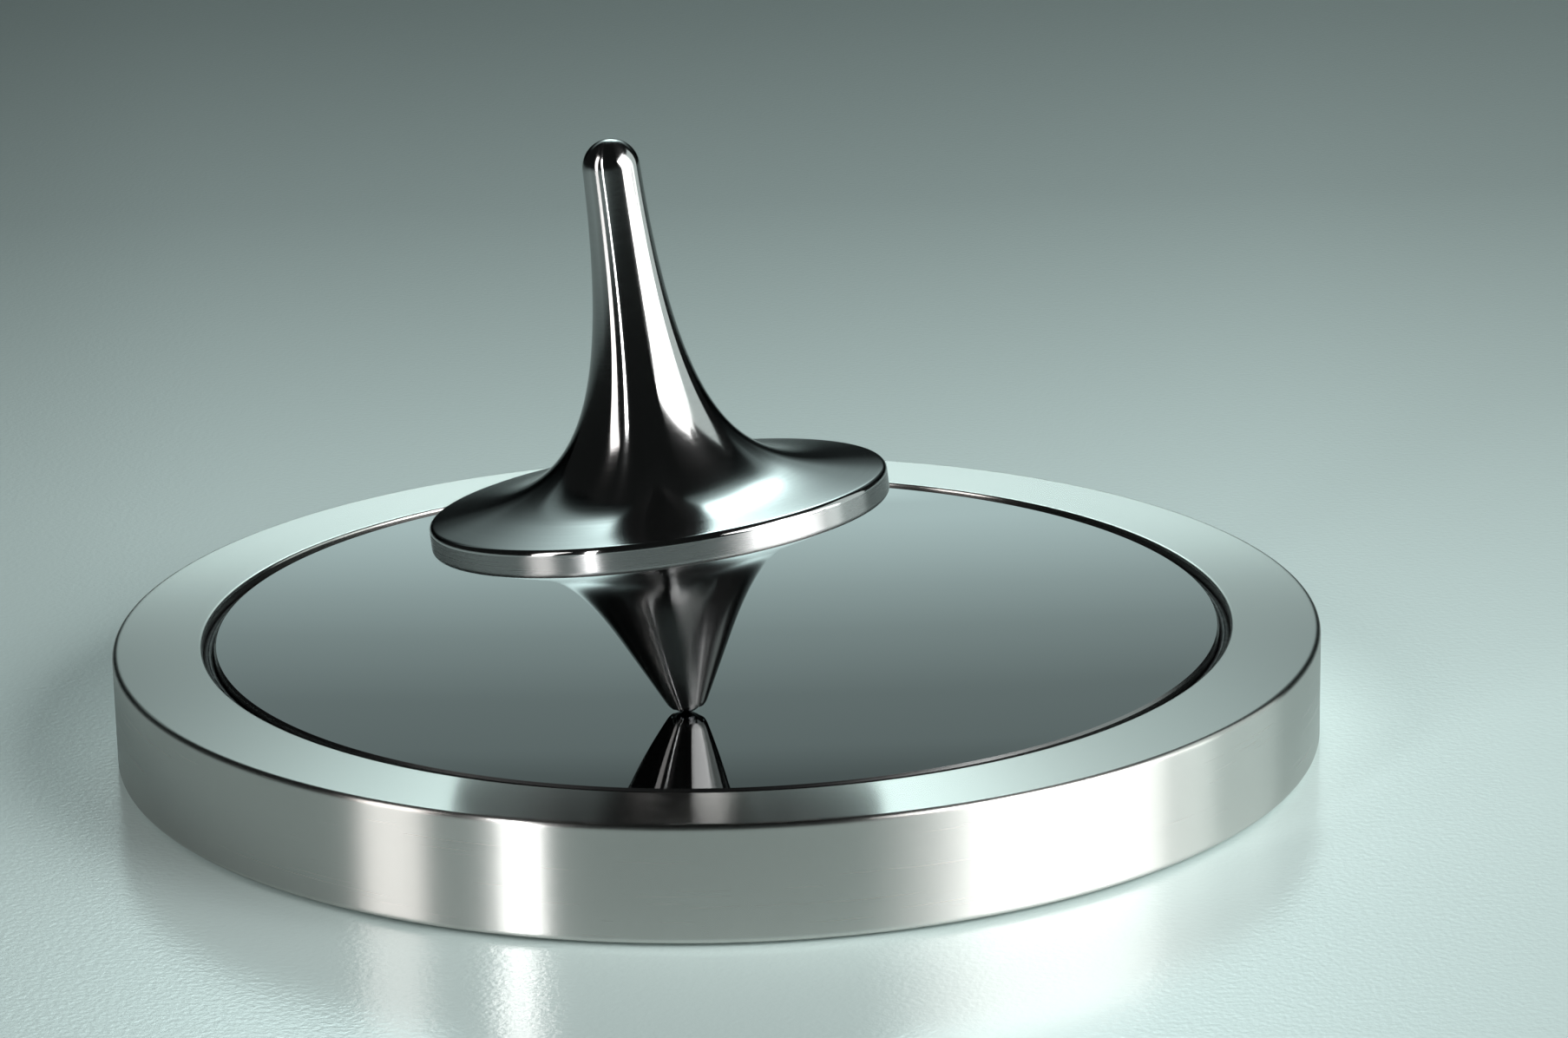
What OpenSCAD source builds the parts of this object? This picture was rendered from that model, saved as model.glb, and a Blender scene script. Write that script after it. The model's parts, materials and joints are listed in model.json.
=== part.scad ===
// Spinning top on its mirror base: a turned steel top with a captive ball tip,
// and a heavy steel base that holds a slightly hollow mirror.
// Millimetres, +Z up, origin at the centre of the base where it meets the table.

/* [Top] */
// Height of the top along its own axis, from the ball's lowest point to the dome
top_h = 37; // [31:0.1:44]
// Diameter of the flywheel
flywheel_d = 29.1; // [24:0.1:36]
// Height of the flywheel's rim band
rim_h = 1.8; // [1.2:0.1:3]
// Height of the rim's lower edge above the ball's lowest point
rim_z = 12.6; // [10.5:0.1:15]
// Rounding of the rim's two edges
rim_round = 0.25; // [0.1:0.05:0.4]
// Slope of the flywheel's upper face where it meets the rim, in degrees
upper_slope = 8; // [4:1:20]
// Slope of the flywheel's lower face where it meets the rim, in degrees
lower_slope = 20; // [6:1:24]

/* [Stem] */
// Diameter of the stem where its dome begins
stem_d = 3.6; // [2.8:0.1:4.6]
// Draft of the stem below the dome, in degrees
stem_draft = 1.2; // [0:0.1:4]
// How far down the stem stays slim, as a pull on the flare's curve
stem_pull = 0.96; // [0.7:0.02:1.1]
// How far in the flywheel's upper face stays flat, as a pull on the flare's curve
face_pull = 0.58; // [0.4:0.02:0.7]

/* [Tip] */
// Diameter of the ball in the tip
ball_d = 2.8; // [2.2:0.1:3.6]
// Running clearance between the ball and its socket
ball_fit = 0.02; // [0.01:0.01:0.04]
// Thickness of the lip that is rolled round the ball
lip_t = 0.08; // [0.05:0.01:0.15]
// How far the lip reaches below the ball's widest part, in degrees
lip_wrap = 42; // [36:1:48]
// Half angle of the straight cone above the lip, in degrees
cone_angle = 27; // [22:0.5:32]
// Height at which the straight cone turns into the flare
cone_top = 4.8; // [4:0.1:6]
// How far up the cone's slope is kept, as a pull on the lower curve
cone_pull = 0.94; // [0.5:0.02:1]
// How far in the flywheel's lower face stays flat, as a pull on the lower curve
underside_pull = 0.58; // [0.4:0.02:0.75]
// Angle of the socket's drilled end, in degrees
drill_angle = 118; // [90:1:135]

/* [Base] */
// Outer diameter of the base
base_d = 80; // [66:1:96]
// Height of the base's metal body
base_h = 7.5; // [6.5:0.1:9]
// Width of the base's flat ring, from its outer side to the mirror's well
ring_w = 5.9; // [3:0.1:9]
// Rounding of the base's outer edges
base_round = 0.35; // [0.2:0.05:0.6]
// Rounding of the edge round the mirror
well_round = 0.2; // [0.1:0.05:0.4]

/* [Mirror] */
// Thickness of the mirror at its edge
mirror_t = 3.2; // [2.6:0.1:3.8]
// Radius of the curve that the mirror's face is hollowed to, which keeps the top near the middle
dish_r = 380; // [300:10:1200]
// Bevel round the mirror's upper edge
mirror_bevel = 0.15; // [0.05:0.05:0.3]
// Depth of the mirror's edge below the base's top face
mirror_drop = 0.1; // [0:0.05:0.4]
// Width of the gap between the mirror and the base, where the gasket lies
mirror_gap = 0.75; // [0.6:0.05:1.2]
// Depth of the gasket below the mirror's edge
gasket_drop = 0.5; // [0.2:0.05:1]
// Clearance on each side of the gasket
gasket_fit = 0.02; // [0.01:0.01:0.05]
// Thickness of the mirror's adhesive tape
mirror_tape_t = 0.25; // [0.1:0.05:0.4]
// Margin between the tape's edge and the mirror's edge
mirror_tape_margin = 1.5; // [0.5:0.1:4]

/* [Grip pad] */
// Width of the metal left bare round the grip pad
pad_margin = 3.85; // [2:0.05:8]
// Thickness of the grip pad
pad_t = 1.2; // [0.8:0.1:1.6]
// How far the pad stands out below the metal
pad_proud = 0.2; // [0.1:0.05:0.5]
// Gap between the pad's edge and its recess
pad_gap = 0.15; // [0.05:0.05:0.5]
// Thickness of the pad's adhesive tape
pad_tape_t = 0.15; // [0.1:0.05:0.3]
// Margin between this tape's edge and the pad's edge
pad_tape_margin = 1.0; // [0.5:0.1:4]

/* [Pose] */
// Lean of the top's axis from upright, in degrees
lean = 7.7; // [0:0.1:12]
// Direction of the lean, in degrees from +X towards +Y
lean_azimuth = 147; // [0:1:359]
// Where the ball's centre stands over the mirror, across
stand_x = -2.1; // [-8:0.1:8]
// Where the ball's centre stands over the mirror, along
stand_y = -15.3; // [-16:0.1:8]
// Air left under the ball, so that it just clears the mirror
stand_gap = 0.01; // [0:0.01:0.03]

/* [Hidden] */
$fn = 128;

CURVE_STEPS = 28;
ROUND_STEPS = 4;
DOME_STEPS = 12;
DISH_STEPS = 12;
SOCKET_STEPS = 8;

ball_r = ball_d / 2;
stem_r = stem_d / 2;
rim_r = flywheel_d / 2;
rim_top_z = rim_z + rim_h;
dome_z = top_h - stem_r;

base_r = base_d / 2;
base_top_z = pad_proud + base_h;
well_r = base_r - ring_w;
mirror_r = well_r - mirror_gap;
mirror_top_z = base_top_z - mirror_drop;
mirror_z = mirror_top_z - mirror_t;
well_z = mirror_z - mirror_tape_t;
pad_recess_r = base_r - pad_margin;
pad_recess_z = pad_t + pad_tape_t;
pad_r = pad_recess_r - pad_gap;

// The mirror's hollow: a ball's surface that ends at the bevel.
dish_edge_r = mirror_r - mirror_bevel;
dish_centre_z = mirror_top_z + sqrt(dish_r * dish_r - dish_edge_r * dish_edge_r);
dish_half_angle = asin(dish_edge_r / dish_r);

// Height of the ball's centre when it stands on the hollow.
stand_reach = dish_r - ball_r - stand_gap;
stand_z = dish_centre_z - sqrt(stand_reach * stand_reach - stand_x * stand_x - stand_y * stand_y);

// Points of an arc about a centre, from one angle to another, both ends included.
function arc(centre, r, from, to, steps) =
    [for (i = [0:steps]) let (a = from + (to - from) * i / steps) centre + r * [cos(a), sin(a)]];

// Points of a cubic curve from p0 to p3 that leaves along p1 and arrives from p2.
// The first point is left out, so that curves join end to end.
function curve(p0, p1, p2, p3, steps) =
    [for (i = [1:steps]) let (t = i / steps, u = 1 - t)
        u * u * u * p0 + 3 * u * u * t * p1 + 3 * u * t * t * p2 + t * t * t * p3];

// A unit vector at an angle from the axis, outwards and up.
function off_axis(a) = [sin(a), cos(a)];

// The socket: a drilled hole whose mouth is rolled in to hold the ball.
socket_r = ball_r + ball_fit;
drill_apex_z = ball_r + socket_r / sin(drill_angle / 2);
drill_edge_z = drill_apex_z - socket_r / tan(drill_angle / 2);

// The lip's outside is an arc about the ball's centre, and the cone leaves it as a tangent.
lip_outer_r = socket_r + lip_t;
cone_foot = [0, ball_r] + lip_outer_r * [cos(cone_angle), -sin(cone_angle)];
cone_top_r = cone_foot.x + (cone_top - cone_foot.y) * tan(cone_angle);

// Where the two flares meet the rounded edges of the rim.
face_r = rim_r - rim_round;
flare_h = dome_z - rim_top_z;
face_w = face_r - stem_r;
under_h = rim_z - cone_top;
under_w = face_r - cone_top_r;

socket_points = concat(
    [[0, drill_apex_z], [socket_r, drill_edge_z]],
    arc([0, ball_r], socket_r, 0, -lip_wrap, SOCKET_STEPS)
);

lip_points = arc([0, ball_r], lip_outer_r, -lip_wrap, -cone_angle, ROUND_STEPS);

underside_points = curve(
    [cone_top_r, cone_top],
    [cone_top_r, cone_top] + cone_pull * under_h * off_axis(cone_angle),
    [face_r, rim_z] - underside_pull * under_w * off_axis(90 - lower_slope),
    [face_r, rim_z],
    CURVE_STEPS
);

rim_points = concat(
    arc([face_r, rim_z + rim_round], rim_round, -90, 0, ROUND_STEPS),
    arc([face_r, rim_top_z - rim_round], rim_round, 0, 90, ROUND_STEPS)
);

flare_points = curve(
    [face_r, rim_top_z],
    [face_r, rim_top_z] - face_pull * face_w * off_axis(90 + upper_slope),
    [stem_r, dome_z] - stem_pull * flare_h * off_axis(-stem_draft),
    [stem_r, dome_z],
    CURVE_STEPS
);

dome_points = arc([0, dome_z], stem_r, 0, 90, DOME_STEPS);

// Stands a part of the top on the mirror, leaning about the ball's centre.
module on_mirror() {
    translate([stand_x, stand_y, stand_z])
        rotate([0, lean, lean_azimuth])
            translate([0, 0, -ball_r])
                children();
}

// Stem, flywheel and cone, turned from one bar, with the socket for the ball.
module top_body() {
    color([0.62, 0.63, 0.64])
        on_mirror()
            rotate_extrude()
                polygon(concat(
                    socket_points,
                    lip_points,
                    [[cone_top_r, cone_top]],
                    [for (i = [0:CURVE_STEPS - 2]) underside_points[i]],
                    rim_points,
                    [for (i = [0:CURVE_STEPS - 2]) flare_points[i]],
                    dome_points
                ));
}

// Hardened ball that the top spins on.
module tip_ball() {
    color([0.35, 0.36, 0.38])
        on_mirror()
            translate([0, 0, ball_r])
                sphere(r = ball_r);
}

// Turned steel body: a rim round the mirror's well, and a recess below for the pad.
module base_body() {
    color([0.70, 0.71, 0.71])
        rotate_extrude()
            polygon(concat(
                [[0, well_z], [well_r, well_z]],
                arc([well_r + well_round, base_top_z - well_round], well_round, 180, 90, ROUND_STEPS),
                arc([base_r - base_round, base_top_z - base_round], base_round, 90, 0, ROUND_STEPS),
                arc([base_r - base_round, pad_proud + base_round], base_round, 0, -90, ROUND_STEPS),
                [[pad_recess_r, pad_proud], [pad_recess_r, pad_recess_z], [0, pad_recess_z]]
            ));
}

// Polished mirror with a slightly hollow face.
module mirror_disc() {
    color([0.45, 0.50, 0.50])
        rotate_extrude()
            polygon(concat(
                [[0, mirror_z], [mirror_r, mirror_z], [mirror_r, mirror_top_z - mirror_bevel]],
                arc([0, dish_centre_z], dish_r, dish_half_angle - 90, -90, DISH_STEPS)
            ));
}

// Black rubber ring that centres the mirror in its well.
module mirror_gasket() {
    color([0.04, 0.04, 0.04])
        difference() {
            translate([0, 0, well_z])
                cylinder(r = well_r - gasket_fit, h = mirror_top_z - gasket_drop - well_z);
            translate([0, 0, well_z - 1])
                cylinder(r = mirror_r + gasket_fit, h = mirror_t + mirror_tape_t + 2);
        }
}

// Adhesive tape under the mirror.
module mirror_tape() {
    color([0.85, 0.84, 0.78])
        translate([0, 0, well_z])
            cylinder(r = mirror_r - mirror_tape_margin, h = mirror_tape_t);
}

// Soft pad that the base stands on.
module grip_pad() {
    color([0.07, 0.07, 0.07])
        cylinder(r = pad_r, h = pad_t);
}

// Adhesive tape between the pad and the base.
module pad_tape() {
    color([0.85, 0.84, 0.78])
        translate([0, 0, pad_t])
            cylinder(r = pad_r - pad_tape_margin, h = pad_tape_t);
}

top_body();
tip_ball();
base_body();
mirror_disc();
mirror_gasket();
mirror_tape();
grip_pad();
pad_tape();
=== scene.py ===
"""A turned steel spinning top that leans in its spin on a heavy base with a hollow mirror."""
import json
import math

import bmesh
import bpy
from bpy.props import FloatProperty, FloatVectorProperty, PointerProperty
from mathutils import Matrix, Vector


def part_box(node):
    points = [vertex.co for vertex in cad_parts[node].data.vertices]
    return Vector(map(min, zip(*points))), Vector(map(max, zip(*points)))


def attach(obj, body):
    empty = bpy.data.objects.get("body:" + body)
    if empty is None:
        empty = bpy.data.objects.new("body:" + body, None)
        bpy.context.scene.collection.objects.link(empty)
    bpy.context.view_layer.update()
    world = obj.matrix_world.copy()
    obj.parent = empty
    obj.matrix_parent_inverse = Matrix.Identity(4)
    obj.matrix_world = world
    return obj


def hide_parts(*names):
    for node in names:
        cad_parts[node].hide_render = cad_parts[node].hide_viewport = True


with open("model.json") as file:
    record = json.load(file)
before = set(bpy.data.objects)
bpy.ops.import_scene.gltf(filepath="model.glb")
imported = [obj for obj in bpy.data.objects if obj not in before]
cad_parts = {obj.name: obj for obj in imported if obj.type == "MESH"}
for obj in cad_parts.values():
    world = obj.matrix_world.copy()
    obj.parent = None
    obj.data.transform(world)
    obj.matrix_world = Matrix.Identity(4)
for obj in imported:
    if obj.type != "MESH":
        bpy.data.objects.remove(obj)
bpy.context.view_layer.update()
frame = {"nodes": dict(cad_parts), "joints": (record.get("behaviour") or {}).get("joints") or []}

bl_info = {
    "name": "Spinning top on a mirror base",
    "version": (1, 0, 0),
    "blender": (4, 5, 0),
    "location": "View3D > Sidebar > Spinning Top",
    "description": "Turns a steel spinning top and its mirror base, and lights them in a small studio",
    "category": "Object",
}

MM = 0.001

# How finely the pieces are turned.
TOP_STEPS = 288
BASE_STEPS = 432
SMALL_STEPS = 192
CURVE_POINTS = 72
CONE_POINTS = 24
CORNER_POINTS = 8
SOCKET_POINTS = 12
LIP_POINTS = 6
BALL_POINTS = 48
DOME_POINTS = 20
DISH_POINTS = 24
# Where the flat band beside a rounding ends, counted from the corner, as a share of the rounding's reach.
FLAT_BAND = 1.3
# An outline's shortest step, the distance at which turned points become one, and the slack in telling
# which section a face belongs to, in metres.
SHORTEST_STEP = 1e-8
SAME_POINT = 1e-7
SECTION_SLACK = 1e-9
# Trims the rounding error of a full turn, so that a turned piece stays inside its CAD size.
TRUE_FIT = 0.99998
# A turned edge sharper than this is shaded as an edge.
SHARP_ANGLE = math.radians(32)


def mm(name, value, description):
    """A length property in metres, written in millimetres."""
    return FloatProperty(
        name=name, description=description, default=value * MM, min=0.0, unit="LENGTH", precision=5
    )


def degrees(name, value, description):
    """An angle property, written in degrees."""
    return FloatProperty(name=name, description=description, default=math.radians(value), subtype="ANGLE")


def share(name, value, description):
    """A share of a length, which may run a little past the whole."""
    return FloatProperty(
        name=name, description=description, default=value, min=0.0, max=1.2, subtype="FACTOR"
    )


def colour(name, value, description):
    """A colour property."""
    return FloatVectorProperty(
        name=name, description=description, default=value, size=3, min=0.0, max=1.0, subtype="COLOR"
    )


def box_size(node):
    """Lowest corner, highest corner and outer radius of a round CAD node."""
    low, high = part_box(node)
    return low, high, high.x


JOINTS = {joint["name"]: joint for joint in frame["joints"]}
SPIN_CENTRE = Vector(JOINTS["spin"]["pos_m"])
SPIN_AXIS = Vector(JOINTS["spin"]["axis"]).normalized()

BASE_LOW, BASE_HIGH, BASE_RADIUS = box_size("base_body")
MIRROR_LOW, MIRROR_HIGH, MIRROR_RADIUS = box_size("mirror_disc")
GASKET_LOW, GASKET_HIGH, GASKET_RADIUS = box_size("mirror_gasket")
PAD_LOW, PAD_HIGH, PAD_RADIUS = box_size("grip_pad")
BALL_LOW, BALL_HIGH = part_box("tip_ball")


class TopSizes(bpy.types.PropertyGroup):
    """Sizes of the top, along and across its own axis."""

    height: mm("Height", 37.0, "From the ball's lowest point to the end of the stem")
    flywheel: mm("Flywheel", 29.1, "Diameter of the flywheel")
    rim_height: mm("Rim height", 1.8, "Height of the flywheel's rim")
    rim_level: mm("Rim level", 12.6, "Height of the rim's lower edge above the ball's lowest point")
    rim_round: mm("Rim rounding", 0.35, "Rounding of the rim's edges")
    upper_slope: degrees("Upper slope", 8.0, "Slope of the flywheel's upper face at the rim")
    lower_slope: degrees("Lower slope", 20.0, "Slope of the flywheel's lower face at the rim")
    face_pull: share("Face pull", 0.58, "How far in the upper face stays flat")
    underside_pull: share("Underside pull", 0.58, "How far in the lower face stays flat")
    stem: mm("Stem", 3.6, "Diameter of the stem below its dome")
    stem_draft: degrees("Stem draft", 1.2, "Slope of the stem's side below its dome")
    stem_pull: share("Stem pull", 0.96, "How far down the stem stays slim")
    ball: mm("Ball", (BALL_HIGH.z - BALL_LOW.z) / MM, "Diameter of the ball in the tip")
    ball_fit: mm("Ball fit", 0.02, "Clearance between the ball and its socket")
    lip: mm("Lip", 0.08, "Thickness of the lip rolled round the ball")
    lip_wrap: degrees("Lip wrap", 42.0, "How far the lip reaches below the ball's widest part")
    cone_angle: degrees("Cone angle", 27.0, "Half angle of the straight cone")
    cone_top: mm("Cone top", 4.8, "Height at which the cone turns into the flare")
    cone_pull: share("Cone pull", 0.94, "How far up the cone's slope is kept")
    drill_angle: degrees("Drill angle", 118.0, "Angle of the socket's drilled end")


class BaseSizes(bpy.types.PropertyGroup):
    """Sizes of the base that its box doesn't give."""

    ring: mm("Ring", 5.9, "Width of the flat ring round the mirror")
    base_round: mm("Base rounding", 0.35, "Rounding of the base's outer edges")
    well_round: mm("Well rounding", 0.2, "Rounding of the edge round the mirror")
    pad_margin: mm("Pad margin", 3.85, "Width of bare metal round the grip pad")
    pad_recess: mm("Pad recess", 1.35, "Height of the pad recess's ceiling")
    dish: mm("Dish", 380.0, "Radius that the mirror's face is hollowed to")
    mirror_bevel: mm("Mirror bevel", 0.15, "Bevel round the mirror's face")
    gasket_wall: mm("Gasket wall", 0.71, "Thickness of the rubber ring round the mirror")
    gasket_round: mm("Gasket rounding", 0.3, "Rounding of the rubber ring's upper edges")
    pad_round: mm("Pad rounding", 0.15, "Rounding of the grip pad's edges")


class Finishes(bpy.types.PropertyGroup):
    """Colours of the materials."""

    steel: colour("Steel", (0.53, 0.53, 0.53), "Bare stainless steel")
    base_steel: colour("Base steel", (0.61, 0.60, 0.58), "Stainless steel of the base")
    ball: colour("Ball", (0.55, 0.56, 0.58), "Hardened steel ball")
    mirror: colour("Mirror", (0.262, 0.268, 0.268), "Dark polished mirror")
    rubber: colour("Rubber", (0.012, 0.012, 0.013), "Black rubber")
    tape: colour("Tape", (0.62, 0.60, 0.53), "Adhesive foam tape")
    floor: colour("Floor", (0.625, 0.76, 0.745), "Satin table top")


class Studio(bpy.types.PropertyGroup):
    """The camera's place."""

    distance: mm("Distance", 324.5, "Distance from the middle of the base's top face to the camera")
    elevation: degrees("Elevation", 17.66, "Height of the camera above the base's top face, as an angle")
    roll: degrees("Roll", -1.38, "Turn of the camera about its own axis")
    pan: degrees("Pan", 0.789, "How far to the right of the base's middle the camera aims")
    tilt: degrees("Tilt", 1.175, "How far above the base's middle the camera aims")
    lens: FloatProperty(name="Lens", description="Focal length for a 36 mm wide sensor", default=111.8)


# ---------------------------------------------------------------- outlines


def direction(angle):
    """A unit vector in an outline, at an angle from the axis, outwards and up."""
    return Vector((math.sin(angle), math.cos(angle)))


def arc(centre, radius, start, end, count):
    """Points of an arc in an outline; its angles are counted from straight outwards."""
    step = (end - start) / count
    angles = [start + step * i for i in range(count + 1)]
    return [Vector(centre) + radius * Vector((math.cos(a), math.sin(a))) for a in angles]


def curve(first, pull_out, pull_in, last, count):
    """Points of a cubic curve that leaves first along pull_out and reaches last along pull_in."""
    points = []
    for i in range(count + 1):
        t = i / count
        u = 1 - t
        points.append(
            u**3 * first
            + 3 * u * u * t * (first + pull_out)
            + 3 * u * t * t * (last - pull_in)
            + t**3 * last
        )
    return points


def rounded(corners):
    """An outline through corners of (radius, height, rounding), with a narrow band beside each rounding
    so that the flat faces stay flat when they are shaded."""
    points = []
    for i, (x, z, rounding) in enumerate(corners):
        here = Vector((x, z))
        if rounding == 0 or i in (0, len(corners) - 1):
            points.append(here)
            continue
        before = (Vector(corners[i - 1][:2]) - here).normalized()
        after = (Vector(corners[i + 1][:2]) - here).normalized()
        half = before.angle(after) / 2
        reach = rounding / math.tan(half)
        centre = here + (before + after).normalized() * (rounding / math.sin(half))
        start = here + before * reach - centre
        sweep = start.angle_signed(here + after * reach - centre)
        points.append(here + before * reach * FLAT_BAND)
        for k in range(CORNER_POINTS + 1):
            a = -sweep * k / CORNER_POINTS
            turned = Vector((
                start.x * math.cos(a) - start.y * math.sin(a),
                start.x * math.sin(a) + start.y * math.cos(a),
            ))
            points.append(centre + turned)
        points.append(here + after * reach * FLAT_BAND)
    return points


# ---------------------------------------------------------------- turning


def turn(name, sections, steps, place=None):
    """Spins an outline round the Z axis into a closed piece. sections is a list of (points, material)
    that join end to end, and the piece's map runs round it and along its outline in millimetres."""
    shape = bmesh.new()
    along = shape.verts.layers.float.new("along")
    outline, ends, length = [], [], 0.0
    for points, _ in sections:
        for point in points:
            if outline:
                step = (point - outline[-1].co.xz).length
                if step < SHORTEST_STEP:
                    continue
                length += step
            vertex = shape.verts.new((point.x, 0, point.y))
            vertex[along] = length
            outline.append(vertex)
        ends.append(length)
    edges = [shape.edges.new(pair) for pair in zip(outline, outline[1:])]
    bmesh.ops.spin(
        shape, geom=outline + edges, cent=(0, 0, 0), axis=(0, 0, 1),
        angle=math.tau, steps=steps, use_merge=True,
    )
    bmesh.ops.scale(shape, vec=(TRUE_FIT, TRUE_FIT, 1), verts=shape.verts)
    bmesh.ops.remove_doubles(shape, verts=shape.verts, dist=SAME_POINT)
    bmesh.ops.recalc_face_normals(shape, faces=shape.faces)
    if shape.calc_volume(signed=True) < 0:
        bmesh.ops.reverse_faces(shape, faces=shape.faces)

    turning = shape.loops.layers.uv.new("turning")
    for face in shape.faces:
        middle = face.calc_center_median()
        facing = math.atan2(middle.y, middle.x)
        for loop in face.loops:
            spot = loop.vert.co
            angle = math.atan2(spot.y, spot.x) if spot.xy.length > SAME_POINT else facing
            angle = facing + (angle - facing + math.pi) % math.tau - math.pi
            loop[turning].uv = (angle / math.tau, loop.vert[along] / MM)
        depth = sum(v[along] for v in face.verts) / len(face.verts)
        face.material_index = next(i for i, end in enumerate(ends) if depth <= end + SECTION_SLACK)
        face.smooth = True
    for edge in shape.edges:
        edge.smooth = len(edge.link_faces) < 2 or edge.calc_face_angle(0) < SHARP_ANGLE
    if place:
        bmesh.ops.transform(shape, matrix=place, verts=shape.verts)

    mesh = bpy.data.meshes.new(name)
    shape.to_mesh(mesh)
    shape.free()
    for _, material in sections:
        mesh.materials.append(material)
    piece = bpy.data.objects.new(name, mesh)
    bpy.context.scene.collection.objects.link(piece)
    return piece


def stand_for(piece, node, body):
    """Puts a finished piece in the place of a CAD node."""
    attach(piece, body)
    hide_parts(node)
    return piece


# ---------------------------------------------------------------- materials


class Nodes:
    """A short way to write a material's nodes."""

    def __init__(self, name):
        self.material = bpy.data.materials.get(name) or bpy.data.materials.new(name)
        self.material.use_nodes = True
        self.tree = self.material.node_tree
        self.tree.nodes.clear()
        self.output = self.tree.nodes.new("ShaderNodeOutputMaterial")

    def node(self, kind, inputs=None, **settings):
        made = self.tree.nodes.new("ShaderNode" + kind)
        for key, value in settings.items():
            setattr(made, key, value)
        for key, value in (inputs or {}).items():
            self.put(made.inputs[key], value)
        return made

    def put(self, socket, value):
        if isinstance(value, bpy.types.NodeSocket):
            self.tree.links.new(value, socket)
        else:
            socket.default_value = value

    def math(self, operation, first, second=0.0, third=0.0):
        return self.node("Math", {0: first, 1: second, 2: third}, operation=operation).outputs[0]

    def ramp(self, value, low, high, to_low, to_high):
        """Carries a value from one range to another."""
        keys = {"Value": value, "From Min": low, "From Max": high, "To Min": to_low, "To Max": to_high}
        return self.node("MapRange", keys).outputs[0]

    def noise(self, vector, scale, detail=2.0, roughness=0.5):
        keys = {"Vector": vector, "Scale": scale, "Detail": detail, "Roughness": roughness}
        return self.node("TexNoise", keys).outputs["Fac"]

    def between(self, factor, first, second):
        """Mixes two colours."""
        mix = self.node("Mix", {0: factor}, data_type="RGBA")
        self.put(mix.inputs[6], (*first, 1))
        self.put(mix.inputs[7], (*second, 1))
        return mix.outputs[2]

    def graph(self, value, stops):
        """Reads a brightness off a list of (place from 0 to 1, brightness)."""
        ramp = self.node("ValToRGB", {0: value})
        band = ramp.color_ramp.elements
        for i, (place, brightness) in enumerate(stops):
            stop = band[i] if i < 2 else band.new(place)
            stop.position = place
            stop.color = (brightness, brightness, brightness, 1)
        return ramp.outputs[0]

    def lathe_vector(self, round_scale, along_scale):
        """A point that runs round the piece without a seam, and along its outline in millimetres."""
        place = self.node("UVMap", uv_map="turning").outputs[0]
        split = self.node("SeparateXYZ", {0: place})
        angle = self.math("MULTIPLY", split.outputs[0], math.tau)
        across = self.math("MULTIPLY", self.math("COSINE", angle), round_scale)
        deep = self.math("MULTIPLY", self.math("SINE", angle), round_scale)
        along = self.math("MULTIPLY", split.outputs[1], along_scale)
        return self.node("CombineXYZ", {0: across, 1: deep, 2: along}).outputs[0]

    def finish(self, colour, **inputs):
        shader = self.node("BsdfPrincipled", {"Base Color": colour})
        for key, value in inputs.items():
            self.put(shader.inputs[key.replace("_", " ")], value)
        self.tree.links.new(shader.outputs[0], self.output.inputs["Surface"])
        return self.material


def shaded(colour, amount):
    """A colour made darker by an amount below 1, or lighter by one above it."""
    return [amount * c for c in colour]


# A quarter turn of the reflections, so that they stretch across the rings and not along them.
ACROSS_RINGS = 0.25
# Depth of the rings where groove is 1.
RING_DEPTH = 0.01 * MM


def turned_metal(name, colour, roughness, anisotropy, groove=0.0, streak=0.0, round_scale=1.5, pitch=9.0):
    """Metal cut or brushed on a lathe: its fine rings stretch every reflection across them. groove is how
    strongly the rings show as relief, streak how uneven the colour and the shine are, round_scale how
    finely they change round the piece, and pitch about how many rings there are to a millimetre."""
    nodes = Nodes(name)
    fine = nodes.noise(nodes.lathe_vector(round_scale, pitch), 1.0, 3.0, 0.6)
    broad = nodes.noise(nodes.lathe_vector(round_scale * 0.5, pitch * 0.12), 1.0, 2.0)
    broad_streak = nodes.math("MULTIPLY", broad, streak * 0.5)
    shade = nodes.math("ADD", nodes.math("MULTIPLY", fine, streak), broad_streak)
    level = nodes.math("SUBTRACT", 1.0 + streak * 0.75, shade)
    tint = nodes.node("VectorMath", {0: (*colour[:],), 3: level}, operation="SCALE").outputs[0]
    rough = nodes.ramp(fine, 0.3, 0.7, roughness * (1 - streak), roughness * (1 + streak))
    inputs = {"Metallic": 1.0, "Roughness": rough, "Anisotropic": anisotropy}
    if anisotropy:
        inputs["Anisotropic_Rotation"] = ACROSS_RINGS
        inputs["Tangent"] = nodes.node("Tangent", direction_type="UV_MAP", uv_map="turning").outputs[0]
    if groove:
        rings = {"Height": fine, "Strength": groove, "Distance": RING_DEPTH}
        inputs["Normal"] = nodes.node("Bump", rings).outputs[0]
    return nodes.finish(tint, **inputs)


def rubber(name, colour, grain):
    """Black rubber with a fine grain."""
    nodes = Nodes(name)
    place = nodes.node("TexCoord").outputs["Object"]
    pebbles = nodes.noise(place, 1 / grain, 2.0, 0.5)
    bump = nodes.node("Bump", {"Height": pebbles, "Strength": 0.4, "Distance": 0.05 * MM}).outputs[0]
    rough = nodes.ramp(pebbles, 0.3, 0.7, 0.45, 0.62)
    tint = nodes.between(pebbles, shaded(colour, 0.7), shaded(colour, 1.5))
    return nodes.finish(tint, Roughness=rough, Normal=bump)


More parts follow.
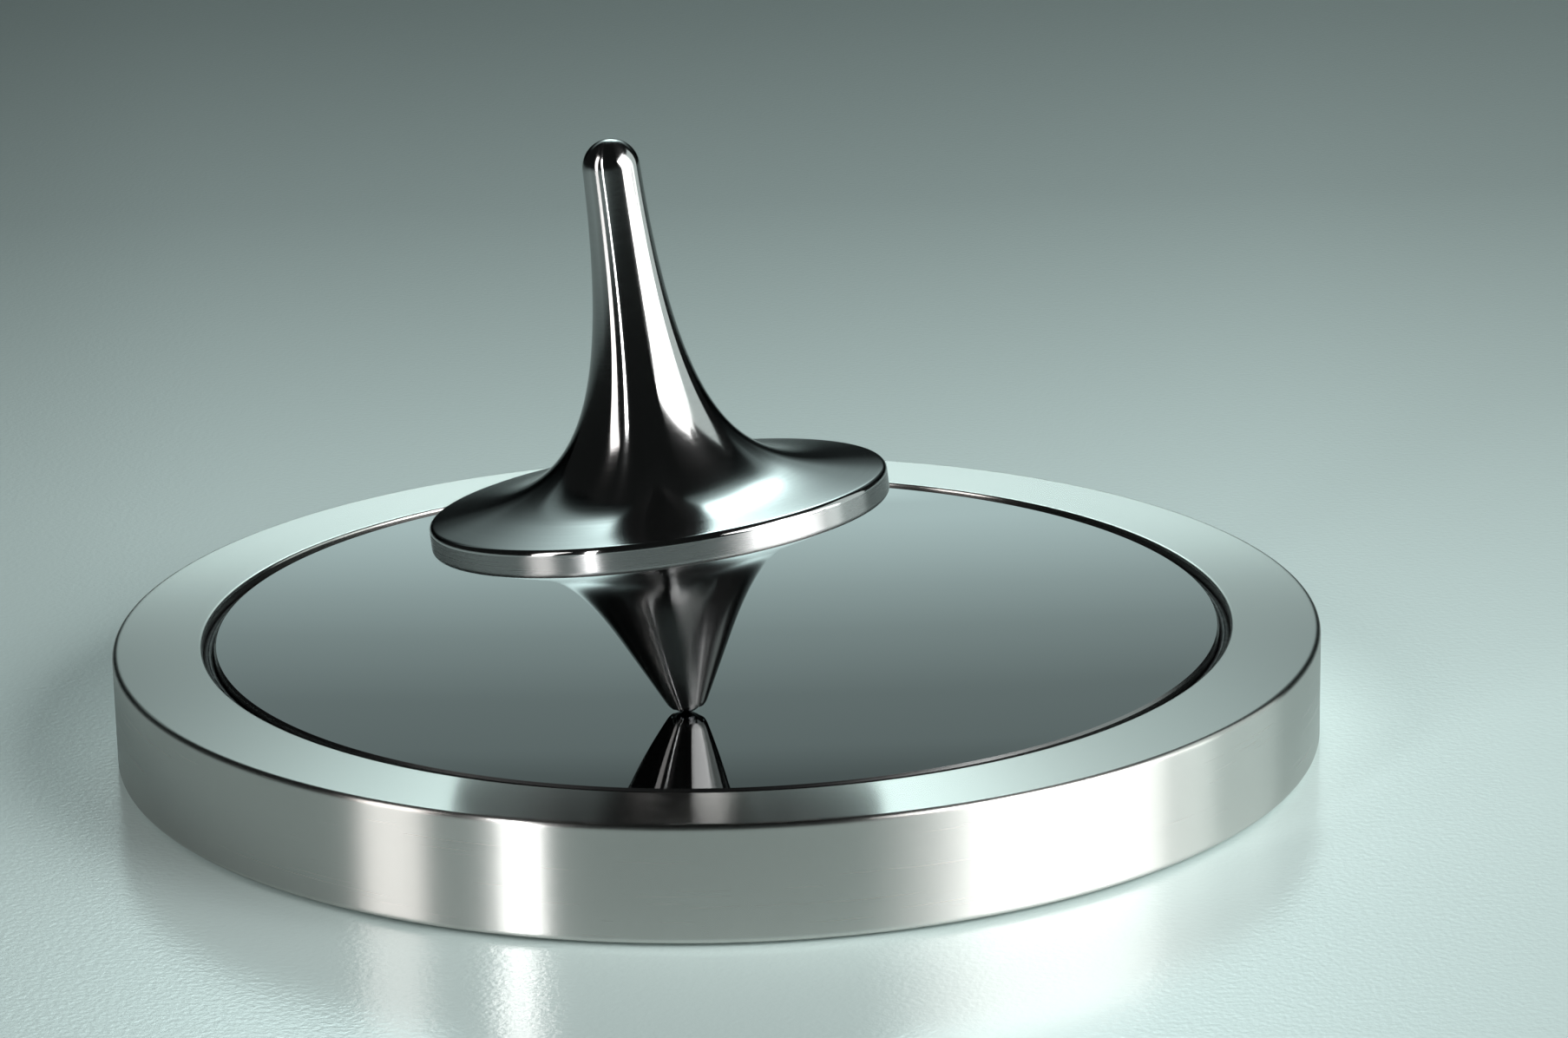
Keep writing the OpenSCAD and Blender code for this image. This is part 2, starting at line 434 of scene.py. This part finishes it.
def foam_tape(name, colour):
    """Pale foam tape, with its cells just showing."""
    nodes = Nodes(name)
    place = nodes.node("TexCoord").outputs["Object"]
    cells = nodes.node("TexVoronoi", {"Vector": place, "Scale": 2600.0}).outputs["Distance"]
    bump = nodes.node("Bump", {"Height": cells, "Strength": 0.5, "Distance": 0.05 * MM}).outputs[0]
    tint = nodes.between(cells, shaded(colour, 0.8), colour)
    return nodes.finish(tint, Roughness=0.8, Normal=bump)


# The table's painted light and shade against the distance behind the base's middle, in millimetres:
# brightest under the base's middle, darker in front of it and darker still towards the back.
FLOOR_PAINTED_LIGHT = (
    (-400, 0.72), (-60, 0.82), (0, 1.0), (50, 0.87), (100, 0.72), (160, 0.54), (260, 0.47), (600, 0.32),
)
# Its painted light at the left and at the right, lighter on the right, and how far out those lie.
SIDE_PAINTED_LIGHT = (1.11, 1.41)
SIDE_REACH = 150 * MM


def satin_floor(name, colour):
    """A pale satin table top with a very fine pebble, and painted light in its colour that fades to shade
    towards the back and is lighter to the right.
    """
    nodes = Nodes(name)
    place = nodes.node("TexCoord").outputs["Object"]
    split = nodes.node("SeparateXYZ", {0: place})
    near, far = FLOOR_PAINTED_LIGHT[0][0] * MM, FLOOR_PAINTED_LIGHT[-1][0] * MM
    stops = [((distance * MM - near) / (far - near), shade) for distance, shade in FLOOR_PAINTED_LIGHT]
    # Painted light: the colour is darkened towards the back and lightened to the right, as light falls on
    # the table.
    backwards = nodes.graph(nodes.ramp(split.outputs["Y"], near, far, 0.0, 1.0), stops)
    sideways = nodes.ramp(split.outputs["X"], -SIDE_REACH, SIDE_REACH, *SIDE_PAINTED_LIGHT)
    shade = nodes.math("MULTIPLY", backwards, sideways)
    tint = nodes.node("VectorMath", {0: (*colour,), 3: shade}, operation="SCALE").outputs[0]
    pebbles = nodes.noise(place, 2400.0, 2.0, 0.5)
    bump = nodes.node("Bump", {"Height": pebbles, "Strength": 0.5, "Distance": 0.04 * MM}).outputs[0]
    return nodes.finish(tint, Roughness=0.16, Specular_IOR_Level=0.95, Normal=bump)


# ---------------------------------------------------------------- pieces


def top_sections(sizes, polish, brushed, cone_polish_painted_shade, bore):
    """The top's outline from the drilled socket, round the lip and the flywheel, to the end of the stem."""
    ball_radius = sizes.ball / 2
    centre = Vector((0, ball_radius))
    socket_radius = ball_radius + sizes.ball_fit
    lip_radius = socket_radius + sizes.lip
    half_drill = sizes.drill_angle / 2
    apex = Vector((0, ball_radius + socket_radius / math.sin(half_drill)))
    edge = Vector((socket_radius, apex.y - socket_radius / math.tan(half_drill)))
    socket = [apex, edge] + arc(centre, socket_radius, 0, -sizes.lip_wrap, SOCKET_POINTS)

    lip = arc(centre, lip_radius, -sizes.lip_wrap, -sizes.cone_angle, LIP_POINTS)
    foot = lip[-1]
    cone_height = sizes.cone_top - foot.y
    cone_end = foot + Vector((cone_height * math.tan(sizes.cone_angle), cone_height))
    cone = [foot.lerp(cone_end, i / CONE_POINTS) for i in range(1, CONE_POINTS)]

    rim_top = sizes.rim_level + sizes.rim_height
    inset = sizes.flywheel / 2 - sizes.rim_round
    right = math.pi / 2
    lower_centre = (inset, sizes.rim_level + sizes.rim_round)
    lower_rim = arc(lower_centre, sizes.rim_round, sizes.lower_slope - right, 0, CORNER_POINTS)
    upper_centre = (inset, rim_top - sizes.rim_round)
    upper_rim = arc(upper_centre, sizes.rim_round, 0, right - sizes.upper_slope, CORNER_POINTS)
    under_width = inset - cone_end.x
    underside = curve(
        cone_end,
        sizes.cone_pull * (sizes.rim_level - sizes.cone_top) * direction(sizes.cone_angle),
        sizes.underside_pull * under_width * direction(right - sizes.lower_slope),
        lower_rim[0],
        CURVE_POINTS,
    )
    dome_level = sizes.height - sizes.stem / 2
    neck = Vector((sizes.stem / 2, dome_level))
    flare = curve(
        upper_rim[-1],
        -sizes.face_pull * (inset - neck.x) * direction(right + sizes.upper_slope),
        sizes.stem_pull * (dome_level - rim_top) * direction(-sizes.stem_draft),
        neck,
        CURVE_POINTS * 2,
    )
    dome = arc((0, dome_level), sizes.stem / 2, 0, right, DOME_POINTS)
    dome[-1].x = 0
    band = Vector((0, 0.03 * MM))
    return [
        (socket, bore),
        (lip + cone + underside, cone_polish_painted_shade),
        (lower_rim + [lower_rim[-1] + band, upper_rim[0] - band], brushed),
        (upper_rim + flare + dome, polish),
    ]


def spin_place(ball_radius):
    """Carries the top from its own axis to the lean it spins at."""
    lean = Vector((0, 0, 1)).rotation_difference(SPIN_AXIS).to_matrix().to_4x4()
    return Matrix.Translation(SPIN_CENTRE) @ lean @ Matrix.Translation((0, 0, -ball_radius))


class MakeTopBody(bpy.types.Operator):
    """Turn the stem, the flywheel and the cone"""

    bl_idname = "spinning_top.top_body"
    bl_label = "Top body"

    def execute(self, context):
        sizes, finishes = context.scene.top_sizes, context.scene.top_finishes
        steel = finishes.steel
        polish = turned_metal(
            "stem_polish", steel, roughness=0.10, anisotropy=1.0, streak=0.10, groove=0.12, pitch=5
        )
        # Painted shade: the rim band is given the top's steel darkened, as well as its real brushing.
        brushed = turned_metal(
            "rim_brushed_painted_shade", shaded(steel, 0.78), roughness=0.27, anisotropy=1.0,
            streak=0.03, groove=0.02, round_scale=2.0, pitch=12,
        )
        # Painted shade: the cone under the flywheel is given the top's steel darkened to three quarters.
        cone = turned_metal(
            "cone_polish_painted_shade", shaded(steel, 0.75), roughness=0.13, anisotropy=1.0,
            streak=0.08, groove=0.05, pitch=14,
        )
        bore = turned_metal("bore_steel", steel, roughness=0.35, anisotropy=0.5, streak=0.2)
        piece = turn(
            "top_body_turned",
            top_sections(sizes, polish, brushed, cone, bore),
            TOP_STEPS,
            spin_place(sizes.ball / 2),
        )
        stand_for(piece, "top_body", "top")
        return {"FINISHED"}


class MakeTipBall(bpy.types.Operator):
    """Make the ball that the top spins on"""

    bl_idname = "spinning_top.tip_ball"
    bl_label = "Tip ball"

    def execute(self, context):
        sizes, finishes = context.scene.top_sizes, context.scene.top_finishes
        half = math.pi / 2
        outline = arc((0, sizes.ball / 2), sizes.ball / 2, -half, half, BALL_POINTS)
        outline[0].x = outline[-1].x = 0
        hard = turned_metal("ball_polish", finishes.ball, roughness=0.06, anisotropy=0.0, streak=0.03)
        piece = turn("tip_ball_polished", [(outline, hard)], SMALL_STEPS // 2, spin_place(sizes.ball / 2))
        stand_for(piece, "tip_ball", "tip")
        return {"FINISHED"}


class MakeBaseBody(bpy.types.Operator):
    """Turn the base's steel body"""

    bl_idname = "spinning_top.base_body"
    bl_label = "Base body"

    def execute(self, context):
        sizes, finishes = context.scene.base_sizes, context.scene.top_finishes
        steel = finishes.base_steel
        well = BASE_RADIUS - sizes.ring
        recess = BASE_RADIUS - sizes.pad_margin
        floor = GASKET_LOW.z
        outer, inner = sizes.base_round, sizes.well_round
        corners = rounded([
            (0, floor, 0),
            (well, floor, 0),
            (well, BASE_HIGH.z, inner),
            (BASE_RADIUS, BASE_HIGH.z, outer),
            (BASE_RADIUS, BASE_LOW.z, outer),
            (recess, BASE_LOW.z, 0),
            (recess, sizes.pad_recess, 0),
            (0, sizes.pad_recess, 0),
        ])
        # The brushed side begins halfway round the upper rounding and ends halfway round the lower one.
        outermost = [i for i, point in enumerate(corners) if point.x > BASE_RADIUS - 0.3 * outer]
        side, under = outermost[0], outermost[-1]
        top_face = turned_metal(
            "ring_turned", steel, roughness=0.22, anisotropy=0.95, streak=0.015, round_scale=3.0, pitch=16
        )
        wall = turned_metal(
            "side_brushed", steel, roughness=0.27, anisotropy=1.0, streak=0.015, round_scale=2.5, pitch=9
        )
        hidden = turned_metal(
            "underside_turned", steel, roughness=0.35, anisotropy=0.8, streak=0.2, groove=0.3
        )
        sections = [
            (corners[: side + 1], top_face),
            (corners[side : under + 1], wall),
            (corners[under:], hidden),
        ]
        piece = turn("base_body_turned", sections, BASE_STEPS)
        stand_for(piece, "base_body", "base")
        return {"FINISHED"}


class MakeMirror(bpy.types.Operator):
    """Polish the hollow mirror"""

    bl_idname = "spinning_top.mirror"
    bl_label = "Mirror"

    def execute(self, context):
        sizes, finishes = context.scene.base_sizes, context.scene.top_finishes
        edge = MIRROR_RADIUS - sizes.mirror_bevel
        centre = MIRROR_HIGH.z + math.sqrt(sizes.dish**2 - edge**2)
        reach = math.asin(edge / sizes.dish)
        down = -math.pi / 2
        hollow = arc((0, centre), sizes.dish, down + reach, down, DISH_POINTS)
        hollow[-1].x = 0
        wall = [
            Vector((0, MIRROR_LOW.z)),
            Vector((MIRROR_RADIUS, MIRROR_LOW.z)),
            Vector((MIRROR_RADIUS, MIRROR_HIGH.z - sizes.mirror_bevel)),
            hollow[0],
        ]
        ground = turned_metal("mirror_edge", finishes.mirror, roughness=0.25, anisotropy=0.5, streak=0.1)
        face = turned_metal("mirror_face", finishes.mirror, roughness=0.015, anisotropy=0.0)
        piece = turn("mirror_polished", [(wall, ground), (hollow, face)], BASE_STEPS)
        stand_for(piece, "mirror_disc", "base")
        return {"FINISHED"}


class MakeGasket(bpy.types.Operator):
    """Lay the rubber ring round the mirror"""

    bl_idname = "spinning_top.gasket"
    bl_label = "Gasket"

    def execute(self, context):
        sizes, finishes = context.scene.base_sizes, context.scene.top_finishes
        inner = GASKET_RADIUS - sizes.gasket_wall
        soft = sizes.gasket_round
        outline = rounded([
            (inner, (GASKET_LOW.z + GASKET_HIGH.z) / 2, 0),
            (inner, GASKET_HIGH.z, soft),
            (GASKET_RADIUS, GASKET_HIGH.z, soft),
            (GASKET_RADIUS, GASKET_LOW.z, soft / 2),
            (inner, GASKET_LOW.z, soft / 2),
            (inner, (GASKET_LOW.z + GASKET_HIGH.z) / 2, 0),
        ])
        black = rubber("gasket_rubber", finishes.rubber, 0.35 * MM)
        piece = turn("mirror_gasket_ring", [(outline, black)], BASE_STEPS)
        stand_for(piece, "mirror_gasket", "base")
        return {"FINISHED"}


class MakeGripPad(bpy.types.Operator):
    """Cut the grip pad under the base"""

    bl_idname = "spinning_top.grip_pad"
    bl_label = "Grip pad"

    def execute(self, context):
        sizes, finishes = context.scene.base_sizes, context.scene.top_finishes
        outline = rounded([
            (0, PAD_HIGH.z, 0),
            (PAD_RADIUS, PAD_HIGH.z, sizes.pad_round),
            (PAD_RADIUS, PAD_LOW.z, sizes.pad_round),
            (0, PAD_LOW.z, 0),
        ])
        black = rubber("pad_rubber", finishes.rubber, 0.5 * MM)
        piece = turn("grip_pad_rubber", [(outline, black)], SMALL_STEPS)
        stand_for(piece, "grip_pad", "base")
        return {"FINISHED"}


class DressTapes(bpy.types.Operator):
    """Give the two adhesive tapes their foam"""

    bl_idname = "spinning_top.tapes"
    bl_label = "Adhesive tapes"

    def execute(self, context):
        foam = foam_tape("foam_tape", context.scene.top_finishes.tape)
        for node in ("mirror_tape", "pad_tape"):
            tape = frame["nodes"][node]
            tape.data.materials.clear()
            tape.data.materials.append(foam)
        return {"FINISHED"}


# ---------------------------------------------------------------- studio

# Softboxes: bearing from straight behind the top, clockwise seen from above, lower and upper edge as
# angles above the table, width as an angle, slant, distance in metres, brightness and colour.
SOFTBOXES = {
    "right_softbox": (119.5, -1, 47, 42, 20, 0.60, 6.0, (1.0, 1.0, 0.99)),
    "right_soft_edge": (92, -1, 45, 12, 16, 0.62, 2.1, (0.96, 1.0, 0.98)),
    "right_fill": (72, -1, 42, 28, 0, 0.65, 0.80, (0.88, 1.0, 0.97)),
    "left_strip": (-142.4, 0, 40, 4.4, 14, 0.70, 15.0, (1.0, 1.0, 1.0)),
    "left_warm_strip": (-117.4, -3, 44, 12.4, 12, 0.70, 3.1, (1.0, 0.96, 0.94)),
}

# The rear panel glows unevenly, like paper lit from below: a broad lower glow and a small bright one above
# it. Each has its brightness against the angle above the table, and its share of that against the angle to
# the left and to the right of the panel's middle. REAR_DISTANCE is in metres, and the other two are angles.
REAR_COLOUR = (0.78, 1.0, 0.99, 1)
REAR_DISTANCE = 0.8
REAR_HEIGHT = 52.0
REAR_SIDE = 40.0
REAR_GLOWS = (
    (
        ((0, 0.01), (6, 0.01), (9, 0.10), (12.3, 0.32), (15, 0.38), (18.2, 0.60), (20.2, 0.84), (23.3, 1.35),
         (26, 1.5), (30, 1.0), (36, 0.5), (52, 0.0)),
        ((0, 1.0), (8.6, 1.0), (11, 0.55), (15, 0.17), (20, 0.05), (26, 0.02), (40, 0.0)),
        ((0, 1.0), (9.5, 1.0), (12, 0.62), (15, 0.28), (19, 0.10), (25, 0.04), (40, 0.0)),
    ),
    (
        ((0, 0.0), (24, 0.0), (26.5, 1.4), (29, 5.0), (34, 5.0), (36, 2.8), (38.5, 0.6), (42, 0.12),
         (52, 0.0)),
        ((0, 1.0), (3, 1.0), (5, 0.85), (8, 0.56), (11, 0.27), (15, 0.07), (40, 0.0)),
        ((0, 1.0), (5, 1.0), (7.5, 0.5), (9.5, 0.12), (12, 0.04), (40, 0.0)),
    ),
)

ROOM_COLOUR = (0.9, 1.0, 0.98, 1)
ROOM_BRIGHTNESS = 0.01
BACKDROP_COLOUR = (0.16, 0.19, 0.185, 1)
TABLE_RADIUS = 1.6
TABLE_SIDES = 128
SENSOR_WIDTH = 36


def softbox(name, bearing, low, high, width, slant, distance, brightness, tint):
    """A soft panel of light that faces the top."""
    bearing, low, high, width, slant = (math.radians(a) for a in (bearing, low, high, width, slant))
    middle = (low + high) / 2
    level = math.cos(middle)
    spot = Vector((math.sin(bearing) * level, math.cos(bearing) * level, math.sin(middle)))
    lamp = bpy.data.lights.new(name, "AREA")
    lamp.shape = "RECTANGLE"
    lamp.size = 2 * distance * math.tan(width / 2)
    lamp.size_y = 2 * distance * math.tan((high - low) / 2)
    lamp.color = tint
    lamp.energy = brightness * math.pi * lamp.size * lamp.size_y
    panel = bpy.data.objects.new(name, lamp)
    panel.location = spot * distance + Vector((0, 0, BASE_HIGH.z))
    facing = (-spot).to_track_quat("-Z", "Y").to_matrix() @ Matrix.Rotation(slant, 3, "Z")
    panel.rotation_euler = facing.to_euler()
    panel.visible_camera = False
    bpy.context.scene.collection.objects.link(panel)
    return panel


def graded(nodes, value, stops, reach):
    """Reads a brightness off a list of (angle, brightness), for a distance across the rear panel."""
    places = [math.tan(math.radians(angle)) * REAR_DISTANCE / reach for angle, _ in stops]
    shades = [brightness for _, brightness in stops]
    return nodes.graph(nodes.math("DIVIDE", value, reach), zip(places, shades))


def rear_panel(scene):
    """A panel behind the top that fades upwards, downwards and to the sides."""
    nodes = Nodes("rear_panel_glow")
    place = nodes.node("TexCoord").outputs["Object"]
    split = nodes.node("SeparateXYZ", {0: place})
    high = math.tan(math.radians(REAR_HEIGHT)) * REAR_DISTANCE
    side = math.tan(math.radians(REAR_SIDE)) * REAR_DISTANCE
    above = nodes.math("SUBTRACT", split.outputs["Z"], BASE_HIGH.z)
    leftward = nodes.math("MULTIPLY", split.outputs["X"], -1.0)
    strength = 0.0
    for rise, left, right in REAR_GLOWS:
        spread = nodes.math(
            "MINIMUM", graded(nodes, leftward, left, side), graded(nodes, split.outputs["X"], right, side)
        )
        strength = nodes.math("MULTIPLY_ADD", graded(nodes, above, rise, high), spread, strength)
    glow = nodes.node("Emission", {"Color": REAR_COLOUR, "Strength": strength})
    nodes.tree.links.new(glow.outputs[0], nodes.output.inputs["Surface"])
    shape = bmesh.new()
    bmesh.ops.create_grid(shape, x_segments=1, y_segments=1, size=0.5)
    upright = Matrix.Translation((0, REAR_DISTANCE, high / 2 + BASE_HIGH.z))
    upright @= Matrix.Rotation(math.pi / 2, 4, "X") @ Matrix.Diagonal((2 * side, high, 1, 1))
    bmesh.ops.transform(shape, matrix=upright, verts=shape.verts)
    mesh = bpy.data.meshes.new("rear_panel")
    shape.to_mesh(mesh)
    shape.free()
    mesh.materials.append(nodes.material)
    panel = bpy.data.objects.new("rear_panel", mesh)
    panel.visible_camera = False
    scene.collection.objects.link(panel)


def studio_world():
    """A dim room, with a pale backdrop for the camera only."""
    world = bpy.data.worlds.new("studio")
    world.use_nodes = True
    tree = world.node_tree
    tree.nodes.clear()
    output = tree.nodes.new("ShaderNodeOutputWorld")
    room = tree.nodes.new("ShaderNodeBackground")
    room.inputs[0].default_value = ROOM_COLOUR
    room.inputs[1].default_value = ROOM_BRIGHTNESS
    backdrop = tree.nodes.new("ShaderNodeBackground")
    backdrop.inputs[0].default_value = BACKDROP_COLOUR
    backdrop.inputs[1].default_value = 1.0
    seen = tree.nodes.new("ShaderNodeLightPath")
    mix = tree.nodes.new("ShaderNodeMixShader")
    tree.links.new(seen.outputs["Is Camera Ray"], mix.inputs[0])
    tree.links.new(room.outputs[0], mix.inputs[1])
    tree.links.new(backdrop.outputs[0], mix.inputs[2])
    tree.links.new(mix.outputs[0], output.inputs[0])
    return world


class MakeStage(bpy.types.Operator):
    """Set up the table, the softboxes, the room and the camera"""

    bl_idname = "spinning_top.stage"
    bl_label = "Stage"

    def execute(self, context):
        scene = context.scene
        scene.view_settings.view_transform = "Standard"
        scene.world = studio_world()
        for name, box in SOFTBOXES.items():
            softbox(name, *box)
        rear_panel(scene)
        self.table(scene)
        self.camera(scene)
        return {"FINISHED"}

    def table(self, scene):
        """A wide flat table top under the base."""
        shape = bmesh.new()
        bmesh.ops.create_circle(shape, cap_ends=True, segments=TABLE_SIDES, radius=TABLE_RADIUS)
        mesh = bpy.data.meshes.new("table_top")
        shape.to_mesh(mesh)
        shape.free()
        mesh.materials.append(satin_floor("table_satin", scene.top_finishes.floor))
        table = bpy.data.objects.new("table_top", mesh)
        scene.collection.objects.link(table)

    def camera(self, scene):
        """The camera, aimed a little right of and above the middle of the base's top face."""
        studio = scene.top_studio
        ahead = Vector((0, math.cos(studio.elevation), -math.sin(studio.elevation)))
        above = Vector((0, math.sin(studio.elevation), math.cos(studio.elevation)))
        beside = Vector((1, 0, 0))
        middle = Vector((0, 0, BASE_HIGH.z))
        place = middle - ahead * studio.distance
        level, tip = math.cos(studio.roll), math.sin(studio.roll)
        across = beside * level + above * tip
        upward = above * level - beside * tip
        aim = (ahead + across * math.tan(studio.pan) + upward * math.tan(studio.tilt)).normalized()
        across = aim.cross(upward).normalized()
        upward = across.cross(aim)
        lens = bpy.data.cameras.new("camera")
        lens.lens = studio.lens
        lens.sensor_width = SENSOR_WIDTH
        lens.clip_start = 0.01
        camera = bpy.data.objects.new("camera", lens)
        turn_to = Matrix((across, upward, -aim)).transposed().to_4x4()
        camera.matrix_world = Matrix.Translation(place) @ turn_to
        scene.collection.objects.link(camera)
        scene.camera = camera


# ---------------------------------------------------------------- add-on

PIECES = (MakeTopBody, MakeTipBall, MakeBaseBody, MakeMirror, MakeGasket, MakeGripPad, DressTapes, MakeStage)
GROUPS = {
    "top_sizes": TopSizes,
    "base_sizes": BaseSizes,
    "top_finishes": Finishes,
    "top_studio": Studio,
}


class SpinningTopPanel(bpy.types.Panel):
    """The buttons and the sizes in the 3D view's sidebar"""

    bl_idname = "VIEW3D_PT_spinning_top"
    bl_label = "Spinning Top"
    bl_space_type = "VIEW_3D"
    bl_region_type = "UI"
    bl_category = "Spinning Top"

    def draw(self, context):
        for piece in PIECES:
            self.layout.operator(piece.bl_idname)
        for group in GROUPS:
            settings = getattr(context.scene, group)
            box = self.layout.box()
            for key in settings.__annotations__:
                box.prop(settings, key)


CLASSES = (*GROUPS.values(), *PIECES, SpinningTopPanel)


def register():
    for made in CLASSES:
        bpy.utils.register_class(made)
    for name, group in GROUPS.items():
        setattr(bpy.types.Scene, name, PointerProperty(type=group))


def unregister():
    for name in GROUPS:
        delattr(bpy.types.Scene, name)
    for made in reversed(CLASSES):
        bpy.utils.unregister_class(made)


def main():
    register()
    for piece in PIECES:
        family, action = piece.bl_idname.split(".")
        getattr(getattr(bpy.ops, family), action)()


if __name__ == "__main__":
    main()
